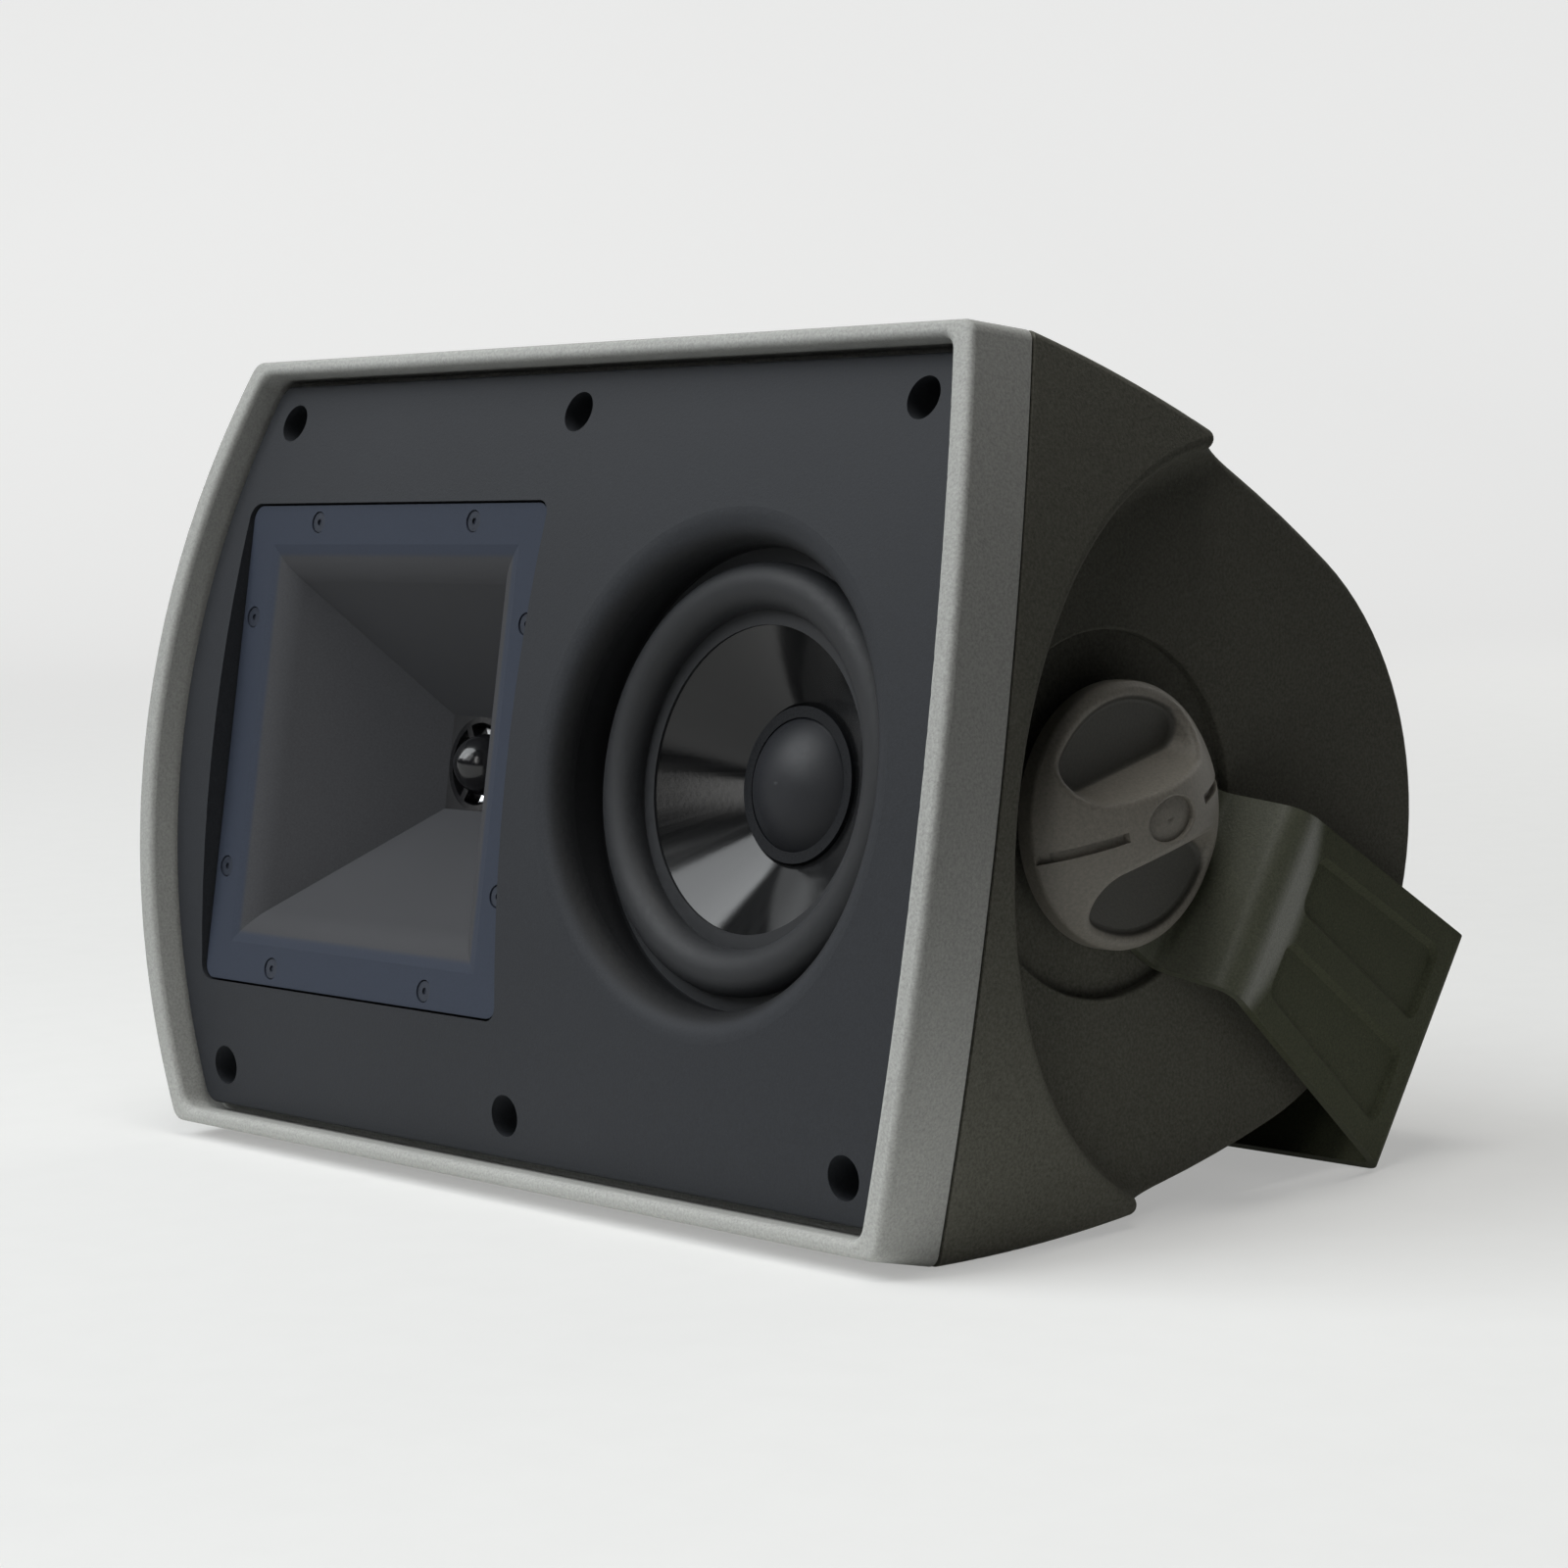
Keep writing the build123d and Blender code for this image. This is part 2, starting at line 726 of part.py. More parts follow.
def make_diaphragm():
    """Thin dome that bulges back, with a flat rim clamped behind the plate."""
    back = driver_plate_y + diaphragm_thickness
    rim = ring_y(horn_x, diaphragm_rim_radius, exit_radius - diaphragm_thickness, driver_plate_y, back)
    dome = turned_y(dome_face(exit_radius, diaphragm_height, 0, diaphragm_thickness), horn_x)
    return rim + Pos(0, back, 0) * mirror(dome, about=Plane.XZ)


def make_driver_magnet():
    lip_y = driver_magnet_y + driver_magnet_lip
    ring = ring_y(horn_x, driver_magnet_radius, diaphragm_rim_radius, driver_magnet_y, driver_back_y)
    return ring + ring_y(horn_x, driver_magnet_radius, exit_radius, driver_magnet_y, lip_y)


def make_driver_back():
    back = rod_y(horn_x, 0, driver_magnet_radius, driver_back_y, driver_back_y + driver_back_thickness)
    pole_y = driver_magnet_y + diaphragm_height + 1
    return back + rod_y(horn_x, 0, driver_pole_radius, pole_y, driver_back_y)


def make_driver_screws():
    screws = []
    for x, z in driver_screw_places():
        head = rod_y(x, z, driver_screw_head, driver_plate_y, driver_plate_y + driver_screw_head_height)
        shank = rod_y(x, z, driver_screw_radius, horn_throat_y - throat_disc_thickness, driver_plate_y)
        screws.append(head + shank)
    return screws


def make_woofer_gasket():
    return ring_y(woofer_x, surround_flange, opening_radius, collar_end_y, surround_y)


def make_surround():
    """Rubber half roll between the frame and the cone."""
    middle = (surround_outer + surround_inner) / 2
    roll = (surround_outer - surround_inner) / 2
    inner = roll - surround_thickness
    y0 = surround_y
    y1 = surround_y + surround_thickness
    crest = y0 - surround_height
    lip_end = [(surround_lip, y0), (surround_lip, y1)]
    edges = [
        Line((surround_flange, y0), (middle + roll, y0)),
        ThreePointArc((middle + roll, y0), (middle, crest), (middle - roll, y0)),
        Polyline((middle - roll, y0), *lip_end, (middle - inner, y1), (middle - inner, y0)),
        ThreePointArc((middle - inner, y0), (middle, crest + surround_thickness), (middle + inner, y0)),
        Polyline((middle + inner, y0), (middle + inner, y1), (surround_flange, y1), (surround_flange, y0)),
    ]
    return turned_y(make_face(edges), woofer_x)


cone_y = surround_y + surround_thickness
cone_outer = surround_lip + cone_glue
cone_slope = cone_depth / (surround_lip - coil_radius)


def make_cone():
    y0 = cone_y
    back = cone_thickness
    neck = y0 + cone_depth
    outline = polygon(
        (cone_outer, y0), (surround_lip, y0), (coil_radius, neck), (coil_radius, neck + back),
        (surround_lip, y0 + back), (cone_outer, y0 + back),
    )
    return turned_y(outline, woofer_x)


dust_y = cone_y + (surround_lip - dust_ring_radius) * cone_slope


def make_dust_cap():
    inner = dust_ring_radius - dust_ring_width
    ring = ring_y(woofer_x, dust_ring_radius, inner, dust_y - dust_ring_height, dust_y)
    return ring + turned_y(dome_face(inner + dust_thickness, dust_height, dust_y, dust_thickness), woofer_x)


former_end_y = cone_y + cone_depth - former_lap + former_length


def make_former():
    start = former_end_y - former_length
    return ring_y(woofer_x, coil_radius, coil_radius - former_thickness, start, former_end_y)


def make_winding():
    outer = coil_radius + winding_thickness
    return ring_y(woofer_x, outer, coil_radius, former_end_y - winding_length, former_end_y)


def make_spider():
    """Pleated cloth ring that centres the coil."""
    inner = coil_radius + winding_thickness
    start = inner + spider_wave_height
    stop = spider_outer - shelf_width
    step = (stop - start) / (2 * spider_waves)
    front = [(coil_radius, spider_y), (start, spider_y)]
    for i in range(1, 2 * spider_waves):
        front.append((start + i * step, spider_y - spider_wave_height * (i % 2)))
    front += [(stop, spider_y), (spider_outer, spider_y)]
    back = [(r, y + spider_thickness) for r, y in reversed(front)]
    return turned_y(polygon(*front, *back), woofer_x)


shelf_y = spider_y + spider_thickness


def make_basket():
    """Frame with a flange, a windowed cone, a shelf for the spider and a seat for the motor."""
    lip = surround_outer - surround_thickness
    shelf_in = spider_outer - shelf_width + shelf_lap
    seat_in = coil_radius + motor_seat_clearance
    shelf_back = shelf_y + basket_wall
    seat_y = motor_y - basket_wall
    outline = polygon(
        (lip - basket_wall, basket_y), (basket_radius, basket_y), (basket_radius, basket_back_y),
        (lip + basket_wall, basket_back_y), (spider_outer + basket_wall, shelf_back),
        (shelf_in + basket_wall, shelf_back), (shelf_in, motor_y), (seat_in, motor_y),
        (seat_in, seat_y), (shelf_in - basket_wall, seat_y), (shelf_in - shelf_lap, shelf_back),
        (shelf_in - shelf_lap, shelf_y), (spider_outer, shelf_y), (lip - basket_wall, basket_back_y),
    )
    frame = turned_y(outline, woofer_x)
    for x, z in basket_ear_places():
        frame += rod_y(x, z, basket_ear_radius, basket_y, basket_back_y) - rod_y(
            woofer_x, 0, (lip + basket_radius) / 2, basket_y, basket_back_y)
        frame -= rod_y(x, z, woofer_screw_radius + screw_clearance, basket_y, basket_back_y)
    span = 2 * basket_radius * math.tan(math.radians(basket_window_angle / 2))
    window = polygon((0, 0), (basket_radius, span / 2), (basket_radius, -span / 2))
    window = prism_y(window, basket_back_y + basket_wall, shelf_y - basket_wall)
    window -= rod_y(0, 0, spider_outer - shelf_width, 0, body_depth)
    for i in range(basket_windows):
        frame -= Pos(woofer_x, 0, 0) * Rot(Y=i * 360 / basket_windows) * window
    return frame


magnet_y = motor_y + top_plate_thickness
back_plate_y = magnet_y + magnet_height
pole_radius = coil_radius - former_thickness - pole_gap
gap_radius = coil_radius + winding_thickness + coil_gap


def make_top_plate():
    return ring_y(woofer_x, top_plate_radius, gap_radius, motor_y, magnet_y)


def make_magnet():
    return ring_y(woofer_x, magnet_radius, magnet_bore, magnet_y, back_plate_y)


def make_back_plate():
    plate = rod_y(woofer_x, 0, top_plate_radius, back_plate_y, back_plate_y + back_plate_thickness)
    plate += rod_y(woofer_x, 0, pole_radius, motor_y, back_plate_y)
    return plate - rod_y(woofer_x, 0, pole_vent, motor_y, back_plate_y + back_plate_thickness)


def make_woofer_screws():
    screws = []
    for x, z in basket_ear_places():
        head = rod_y(x, z, woofer_screw_head, basket_back_y, basket_back_y + woofer_screw_head_height)
        screws.append(head + rod_y(x, z, woofer_screw_radius, basket_y - woofer_screw_grip, basket_back_y))
    return screws


tray_floor_y = terminal_floor_y + terminal_flange_thickness - tray_depth
tray_back_y = tray_floor_y - tray_skin
board_y = tray_back_y - standoff_length


def standoff_places():
    return [(x, z) for x in (-standoff_x, standoff_x) for z in (-standoff_z, standoff_z)]


def post_places():
    return [-post_spacing / 2, post_spacing / 2]


def make_terminal_cup():
    face_y = terminal_floor_y + terminal_flange_thickness
    gap = 2 * terminal_flange_gap
    cup = prism_y(Rectangle(terminal_pocket_x - gap, terminal_pocket_z - gap), terminal_floor_y, face_y)
    cup += prism_y(Rectangle(tray_x, tray_z), tray_back_y, terminal_floor_y)
    hollow = Rectangle(tray_x - 2 * tray_skin, tray_z - 2 * tray_skin)
    cup -= prism_y(hollow, tray_floor_y, face_y + margin)
    for x, z in standoff_places():
        cup += rod_y(x, z, standoff_radius, board_y, tray_back_y)
        cup -= rod_y(x, z, board_screw_radius, board_y - margin, board_y + board_screw_grip)
    for x, z in terminal_screw_places():
        cup -= rod_y(x, z, terminal_screw_radius + screw_clearance, terminal_floor_y, face_y)
    for x in post_places():
        cup -= rod_y(x, 0, post_radius + post_fit, tray_back_y, tray_floor_y)
    return cup


def make_terminal_screws():
    screws = []
    face_y = terminal_floor_y + terminal_flange_thickness
    for x, z in terminal_screw_places():
        head = rod_y(x, z, terminal_screw_head, face_y, face_y + terminal_screw_head_height)
        screws.append(head + rod_y(x, z, terminal_screw_radius, terminal_pad_y + screw_bite, face_y))
    return screws


post_start_y = tray_back_y - standoff_length / 2


def make_posts():
    posts = []
    for x in post_places():
        post = rod_y(x, 0, post_radius, post_start_y, post_start_y + post_length)
        posts.append(post + rod_y(x, 0, post_cap_radius, tray_back_y - post_collar, tray_back_y))
    return posts


def make_post_caps():
    caps = []
    for x in post_places():
        end = tray_floor_y + post_cap_length
        cap = ring_y(x, post_cap_radius, post_radius + post_fit, tray_floor_y, end)
        for i in range(post_flutes):
            angle = 2 * math.pi * i / post_flutes
            flute_x = x + post_cap_radius * math.cos(angle)
            flute_z = post_cap_radius * math.sin(angle)
            cap -= rod_y(flute_x, flute_z, post_flute_radius, tray_floor_y + post_collar, end)
        caps.append(cap)
    return caps


board_front_y = board_y - board_thickness


def make_board():
    board = prism_y(Rectangle(board_x, board_z), board_front_y, board_y)
    for x, z in standoff_places():
        board -= rod_y(x, z, board_screw_radius + screw_clearance, board_front_y, board_y)
    return board


inductor_x = standoff_x - board_screw_head - part_gap - inductor_radius


def make_inductors():
    y0 = board_front_y - inductor_height
    coil = ring_y(0, inductor_radius, inductor_bore, y0, board_front_y)
    return [Pos(x, 0, inductor_radius - board_z / 2) * coil for x in (-inductor_x, inductor_x)]


def make_capacitors():
    cans = []
    y = board_front_y - capacitor_radius
    top = board_z / 2 - capacitor_radius
    for z in (top, top - 2 * capacitor_radius - part_gap):
        face = Pos(y, z) * Circle(capacitor_radius)
        start = -capacitor_length - part_gap
        cans.append(prism_x(face, start, start + capacitor_length))
    return cans


def make_resistors():
    y0 = board_front_y - resistor_height
    z = board_z / 2 - resistor_z / 2
    x = part_gap + resistor_x / 2
    block = prism_y(Pos(x, z) * Rectangle(resistor_x, resistor_z), y0, board_front_y)
    return [Pos(0, 0, drop) * block for drop in (0, -resistor_z - part_gap)]


def make_board_screws():
    screws = []
    for x, z in standoff_places():
        head = rod_y(x, z, board_screw_head, board_front_y - board_screw_head_height, board_front_y)
        screws.append(head + rod_y(x, z, board_screw_radius, board_front_y, board_y + board_screw_grip))
    return screws


hub_x = well_floor_x + rubber_thickness + clamp_gap
hub_face_x = hub_x + sheet
kink_x = hub_x + sheet / 2 + joggle
bracket_end_x = kink_x - arm_lean
knob_base_x = hub_face_x + washer_thickness + clamp_gap


def knob_dome(inset):
    """Knob body with its dome, or a parallel body inset below its surface."""
    base = knob_base_x + inset
    rim = knob_base_x + knob_skirt
    top = knob_base_x + knob_height - inset
    radius = knob_radius - inset
    rise = top - rim
    ball = (radius ** 2 + rise ** 2) / (2 * rise)
    angle = math.asin(radius / ball) / 2
    half_way = (top - ball + ball * math.cos(angle), ball * math.sin(angle))
    edges = [
        Polyline((top, 0), (base, 0), (base, radius), (rim, radius)),
        ThreePointArc((rim, radius), half_way, (top, 0)),
    ]
    return turned_x(make_face(edges))


def dome_edges(body):
    """Edges that the scoops cut into the knob's dome."""
    rise = knob_height - knob_skirt
    ball = (knob_radius ** 2 + rise ** 2) / (2 * rise)
    centre = Vector(knob_base_x + knob_height - ball, knob_y, 0)

    def cut(edge):
        points = [edge @ share for share in (0, 0.3, 0.7, 1)]
        level = max(p.X for p in points) - min(p.X for p in points) < tolerance
        return not level and all(abs((p - centre).length - ball) < 2 * tolerance for p in points)

    return [e for e in body.edges() if cut(e)]


def inside_oval(point):
    """Whether a point of the knob lies in or on its oval recess."""
    across = (point.Y - knob_y) / (oval_long / 2 + tolerance)
    up = point.Z / (oval_short / 2 + tolerance)
    return math.hypot(across, up) <= 1


def make_knob():
    """Right-hand knob: a dome with two finger scoops, leaving a bar across the middle."""
    body = knob_dome(0)
    floor = knob_base_x + scoop_floor
    rim = [e for e in body.edges() if abs(e.center().X - knob_base_x - knob_skirt) < tolerance]
    body = fillet(rim, lip_round)
    block = Pos(0, bar_foot + scoop_radius) * Rectangle(2 * scoop_radius, 2 * scoop_radius)
    half = Circle(scoop_radius) & block
    half = fillet(half.vertices(), scoop_corner)
    scoop = extrude(Plane.YZ.offset(floor) * half, knob_height, taper=-scoop_draft)
    scoop = fillet(scoop.faces().sort_by(Axis.X)[0].edges(), scoop_foot_round)
    axis = Pos(0, knob_y, 0)
    for turn in (0, 180):
        body -= axis * Rot(X=turn) * scoop
    body = fillet(dome_edges(body), bar_round)
    skin = knob_dome(0) - knob_dome(slot_depth)
    for side in (-1, 1):
        middle = side * (slot_start + knob_radius) / 2
        slot = Pos(knob_y + middle, 0) * Rectangle(knob_radius - slot_start, slot_width)
        body -= skin & prism_x(slot, knob_base_x + knob_skirt, reach)
    oval = prism_x(Pos(knob_y, 0) * Ellipse(oval_long / 2, oval_short / 2), floor, reach)
    body -= oval & (knob_dome(0) - knob_dome(oval_depth))
    body = fillet([e for e in dome_edges(body) if inside_oval(e @ 0.5)], oval_round)
    body -= ring_x(stud_radius, 0, knob_base_x, knob_base_x + stud_in_knob)
    return axis * Rot(X=knob_turn) * axis.inverse() * body


def make_stud():
    return ring_x(stud_radius, 0, inner_end_x - stud_in_cabinet, knob_base_x + stud_in_knob)


def make_insert():
    return ring_x(insert_radius, stud_radius + stud_fit, inner_end_x - insert_length, well_floor_x)


def make_rubber_washer():
    return ring_x(hub_radius, stud_radius + stud_clearance, well_floor_x, well_floor_x + rubber_thickness)


def make_knob_washer():
    return ring_x(washer_radius, stud_radius + stud_clearance, hub_face_x, hub_face_x + washer_thickness)


def make_bracket():
    """Folded yoke, drawn pointing straight back and then swung down about the knobs."""
    half = sheet / 2
    folds = [hub_fold, kink_fold, plate_fold, plate_fold, kink_fold, hub_fold]
    along = [
        (hub_x + half, -hub_radius), (hub_x + half, hub_flat),
        (kink_x, kink_along), (bracket_end_x, bracket_reach - half),
    ]
    path = along + [(-x, y) for x, y in reversed(along)]
    strip = trace(FilletPolyline(*path, radius=folds), sheet)
    body = extrude(strip, plate_half_width, both=True)
    plan = Circle(hub_radius) + polygon(
        (0, hub_radius), (kink_along, kink_half_width), (bracket_reach, plate_half_width),
        (bracket_reach + margin, plate_half_width), (bracket_reach + margin, -plate_half_width),
        (bracket_reach, -plate_half_width), (kink_along, -kink_half_width), (0, -hub_radius),
    )
    body &= prism_x(plan, -reach, reach)
    panels = make_panels()
    body -= panels
    body -= mirror(panels, about=Plane.YZ)
    body -= prism_x(Circle(stud_radius + stud_clearance), -reach, reach)
    for i in range(plate_holes):
        angle = 2 * math.pi * (i + 0.5) / plate_holes
        x = plate_hole_circle * math.cos(angle)
        z = plate_hole_circle * math.sin(angle)
        body -= rod_y(x, z, plate_hole_radius, bracket_reach - margin, bracket_reach + margin)
    return swing * body


def make_panels():
    """Cutters for the two pressed panels in the outer face of the right arm."""
    slope = Vector(bracket_end_x - kink_x, bracket_reach - sheet / 2 - kink_along)
    length = slope.length
    x0 = panel_start
    x1 = length - panel_end
    grow = (plate_half_width - kink_half_width) / length
    y0 = panel_rib
    quad = polygon(
        (x0, y0), (x1, y0), (x1, kink_half_width + grow * x1 - panel_edge),
        (x0, kink_half_width + grow * x0 - panel_edge),
    )
    quad = fillet(quad.vertices(), panel_corner)
    pair = quad + mirror(quad, about=Plane.XZ)
    inward = Vector(-slope.Y, slope.X, 0).normalized()
    outside = Vector(kink_x, kink_along, 0) - inward * sheet / 2
    face = Plane(origin=outside, x_dir=(slope.X, slope.Y, 0), z_dir=inward)
    return extrude(face * pair, panel_depth, taper=panel_draft)


swing = Pos(0, knob_y, 0) * Rot(X=-bracket_drop)


def rest_tilt():
    """Angle that brings the cabinet's bottom and the bracket's lower edge onto one level."""
    drop = math.radians(bracket_drop)
    corner = Vector(
        knob_y + bracket_reach * math.cos(drop) - plate_half_width * math.sin(drop),
        -bracket_reach * math.sin(drop) - plate_half_width * math.cos(drop),
    )
    gap = corner - Vector(side_centre.X, -side_centre.Y)
    towards = math.atan2(gap.Y, gap.X)
    touch = towards - math.acos(side_arc_radius / gap.length)
    return 90 + math.degrees(touch)


def build_all():
    """Every piece in the cabinet's frame, by node name."""
    knob = make_knob()
    stud = make_stud()
    insert = make_insert()
    rubber = make_rubber_washer()
    washer = swing * Pos(0, -knob_y, 0) * make_knob_washer()
    return {
        "front_bezel": make_bezel(),
        "cabinet_shell": make_cabinet(),
        "seam_gasket": make_seam_gasket(),
        "baffle": make_baffle(),
        "baffle_screws": make_baffle_screws(),
        "horn": make_horn(),
        "horn_gasket": make_horn_gasket(),
        "horn_screws": make_horn_screws(),
        "tweeter_front_plate": make_driver_plate(),
        "phase_plug": make_phase_plug(),
        "tweeter_diaphragm": make_diaphragm(),
        "tweeter_magnet": make_driver_magnet(),
        "tweeter_back_plate": make_driver_back(),
        "tweeter_screws": make_driver_screws(),
        "woofer_gasket": make_woofer_gasket(),
        "woofer_basket": make_basket(),
        "woofer_screws": make_woofer_screws(),
        "woofer_surround": make_surround(),
        "woofer_cone": make_cone(),
        "dust_cap": make_dust_cap(),
        "voice_coil_former": make_former(),
        "voice_coil_winding": make_winding(),
        "spider": make_spider(),
        "woofer_top_plate": make_top_plate(),
        "woofer_magnet": make_magnet(),
        "woofer_back_plate": make_back_plate(),
        "terminal_cup": make_terminal_cup(),
        "terminal_screws": make_terminal_screws(),
        "binding_posts": make_posts(),
        "binding_post_caps": make_post_caps(),
        "crossover_board": make_board(),
        "inductors": make_inductors(),
        "capacitors": make_capacitors(),
        "resistors": make_resistors(),
        "board_screws": make_board_screws(),
        "bracket": make_bracket(),
        "knob_washers": [washer, other_end(washer)],
        "right_knob": knob,
        "left_knob": other_end(knob),
        "right_knob_stud": stud,
        "left_knob_stud": other_end(stud),
        "threaded_inserts": [insert, other_end(insert)],
        "rubber_washers": [rubber, other_end(rubber)],
    }


def solids_of(shape):
    """The separate solids of a piece, or of a group of like pieces."""
    shapes = shape if isinstance(shape, list) else [shape]
    return [solid for item in shapes for solid in item.solids()]


os.makedirs("parts", exist_ok=True)
pieces = {name: Compound(solids_of(shape)) for name, shape in build_all().items()}
tipped = {name: Rot(X=-rest_tilt()) * shape for name, shape in pieces.items()}
extent = Compound(list(tipped.values())).bounding_box()
stand = Pos(0, -extent.center().Y, -extent.min.Z)
for name, shape in tipped.items():
    export_step(stand * shape, "parts/" + name + ".step")
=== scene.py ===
import bpy
import math
from mathutils import Matrix, Vector


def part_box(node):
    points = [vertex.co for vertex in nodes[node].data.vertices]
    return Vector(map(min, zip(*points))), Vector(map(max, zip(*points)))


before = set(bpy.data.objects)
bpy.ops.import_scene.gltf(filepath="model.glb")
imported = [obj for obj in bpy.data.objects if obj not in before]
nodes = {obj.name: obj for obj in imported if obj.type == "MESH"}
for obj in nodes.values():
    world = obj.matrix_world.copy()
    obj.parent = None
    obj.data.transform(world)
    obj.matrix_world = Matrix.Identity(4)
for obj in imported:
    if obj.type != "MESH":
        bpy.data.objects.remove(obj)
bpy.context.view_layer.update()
scene = bpy.context.scene
scene.view_settings.view_transform = "Standard"

# The way the speaker faces, and the lines that finishes are measured from
FRONT = Vector((0.0, -0.984277, 0.176633))
ACROSS = (1.0, 0.0, 0.0)
UPWARD = (0.0, 0.0, 1.0)

# Where finishes, painted shade and painted sheen change on a piece, in metres
FLANGE_FULL = 0.0004
FLANGE_NONE = 0.0009
SCOOP_FLOOR = 0.005
SCOOP_FULL = 0.0004
SCOOP_NONE = 0.0016
SCOOP_RADIUS = 0.0273
SCOOP_EDGE = 0.0006
DUST_RING = 0.0159
DUST_EDGE = 0.0004
WOOFER_WALL = 0.0555
WOOFER_LIP = 0.0588
FOLD_END = 0.05
FOLD_FADE = 0.006

# The part of a noise's range that is used, the slow patches and the specks
NOISE_LOW = 0.3
NOISE_HIGH = 0.7
PATCH_SCALE = 9.0
PATCH_STOPS = [(0.25, (0.92, 0.92, 0.92)), (0.75, (1.06, 1.06, 1.06))]
SPECK_SCALE = 330.0
SPECK_STOPS = [(0.05, (1.0, 1.0, 1.0)), (0.1, (0.0, 0.0, 0.0))]
SPECK_GAIN = 3.0
GLOSS_SPREAD = 0.07
GRAIN_HEIGHT = 0.0006
LINE_HEIGHT = 0.0003

# Paper floor and wall, in metres
PAPER_REACH = 25.0
WALL_START = 2.4
WALL_BEND = 0.8
WALL_TOP = 4.0
BEND_STEPS = 12
PAPER_TURN = math.radians(48.0)
BOUNCE_NEAR = 0.2
BOUNCE_FAR = 0.36
LIFT_PER_METRE = 0.2

# Light and camera
WORLD_COLOUR = (0.95, 0.97, 1.0, 1.0)
WORLD_STRENGTH = 0.02
LAMP_AIM = Vector((0.0, 0.0, 0.1))
SENSOR_MM = 36.0
LENS_MM = 86.4
CAMERA_PLACE = (0.725779, -0.649530, 0.181408)
CAMERA_RIGHT = Vector((0.6687, 0.74295, -0.02848))
CAMERA_UP = Vector((-0.0474, 0.08082, 0.99558))


def add(tree, kind, links=None, **values):
    """New shader node with its settings, and its inputs linked or set by name or number."""
    node = tree.nodes.new(kind)
    for key, value in values.items():
        setattr(node, key, value)
    for key, value in (links or {}).items():
        if isinstance(value, bpy.types.NodeSocket):
            tree.links.new(value, node.inputs[key])
        else:
            node.inputs[key].default_value = value
    return node


def start(name):
    """New material with its tree, its shader and the coordinates that stay with the piece."""
    material = bpy.data.materials.new(name)
    material.use_nodes = True
    tree = material.node_tree
    shader = tree.nodes["Principled BSDF"]
    place = add(tree, "ShaderNodeTexCoord").outputs["Object"]
    return material, tree, shader, place


def noise(tree, place, scale, detail=3.0, rough=0.55):
    made = add(tree, "ShaderNodeTexNoise",
               {"Vector": place, "Scale": scale, "Detail": detail, "Roughness": rough})
    return made.outputs["Fac"]


def ramp(tree, value, stops):
    """Colour ramp from a list of (position, colour)."""
    made = add(tree, "ShaderNodeValToRGB", {"Fac": value})
    band = made.color_ramp
    while len(band.elements) < len(stops):
        band.elements.new(0.5)
    for element, (position, colour) in zip(band.elements, stops):
        element.position = position
        element.color = (*colour, 1.0)
    return made.outputs["Color"]


def shade(colour, factor):
    return tuple(channel * factor for channel in colour)


def tinted(tree, value, colour, darkest, lightest):
    """Colour that goes from a darker to a lighter tone with a noise."""
    return ramp(tree, value, [(NOISE_LOW, shade(colour, darkest)), (NOISE_HIGH, shade(colour, lightest))])


def span(tree, value, low, high):
    """Number that goes from low to high with a noise."""
    made = add(tree, "ShaderNodeMapRange", {"Value": value, "From Min": NOISE_LOW, "From Max": NOISE_HIGH,
                                            "To Min": low, "To Max": high})
    return made.outputs["Result"]


def step(tree, value, low, high):
    """0 at the first value, 1 at the second one, and a smooth change between."""
    made = add(tree, "ShaderNodeMapRange", {"Value": value, "From Min": low, "From Max": high},
               interpolation_type="SMOOTHSTEP")
    return made.outputs["Result"]


def mix(tree, share, first, second, blend="MIX"):
    made = add(tree, "ShaderNodeMix", data_type="RGBA", blend_type=blend)
    for index, value in ((0, share), (6, first), (7, second)):
        if isinstance(value, bpy.types.NodeSocket):
            tree.links.new(value, made.inputs[index])
        else:
            made.inputs[index].default_value = value if index == 0 else (*value, 1.0)
    return made.outputs[2]


def times(tree, first, second):
    return add(tree, "ShaderNodeMath", {0: first, 1: second}, operation="MULTIPLY").outputs[0]


def emboss(tree, shader, height, strength, distance):
    """Fine relief on the surface."""
    bump = add(tree, "ShaderNodeBump", {"Height": height, "Strength": strength, "Distance": distance})
    tree.links.new(bump.outputs["Normal"], shader.inputs["Normal"])


def off_axis(tree, place, centre, axis):
    """Distance of each point from a line through the centre."""
    arm = add(tree, "ShaderNodeVectorMath", {0: place, 1: centre}, operation="SUBTRACT").outputs["Vector"]
    side = add(tree, "ShaderNodeVectorMath", {0: arm, 1: axis}, operation="CROSS_PRODUCT").outputs["Vector"]
    return add(tree, "ShaderNodeVectorMath", {0: side}, operation="LENGTH").outputs["Value"]


def middle(name):
    """Middle of the box round a piece."""
    low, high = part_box(name)
    return [(a + b) / 2 for a, b in zip(low, high)]


def off_knobs(tree, place):
    """Distance of each point from the line through both knobs."""
    return off_axis(tree, place, middle("right_knob"), ACROSS)


def flange_mask(tree, place):
    """1 on the flat front of the horn and 0 down its throat."""
    front = max(FRONT.dot(vertex.co) for vertex in nodes["horn"].data.vertices)
    depth = add(tree, "ShaderNodeVectorMath", {0: place, 1: FRONT}, operation="DOT_PRODUCT").outputs["Value"]
    return step(tree, depth, front - FLANGE_NONE, front - FLANGE_FULL)


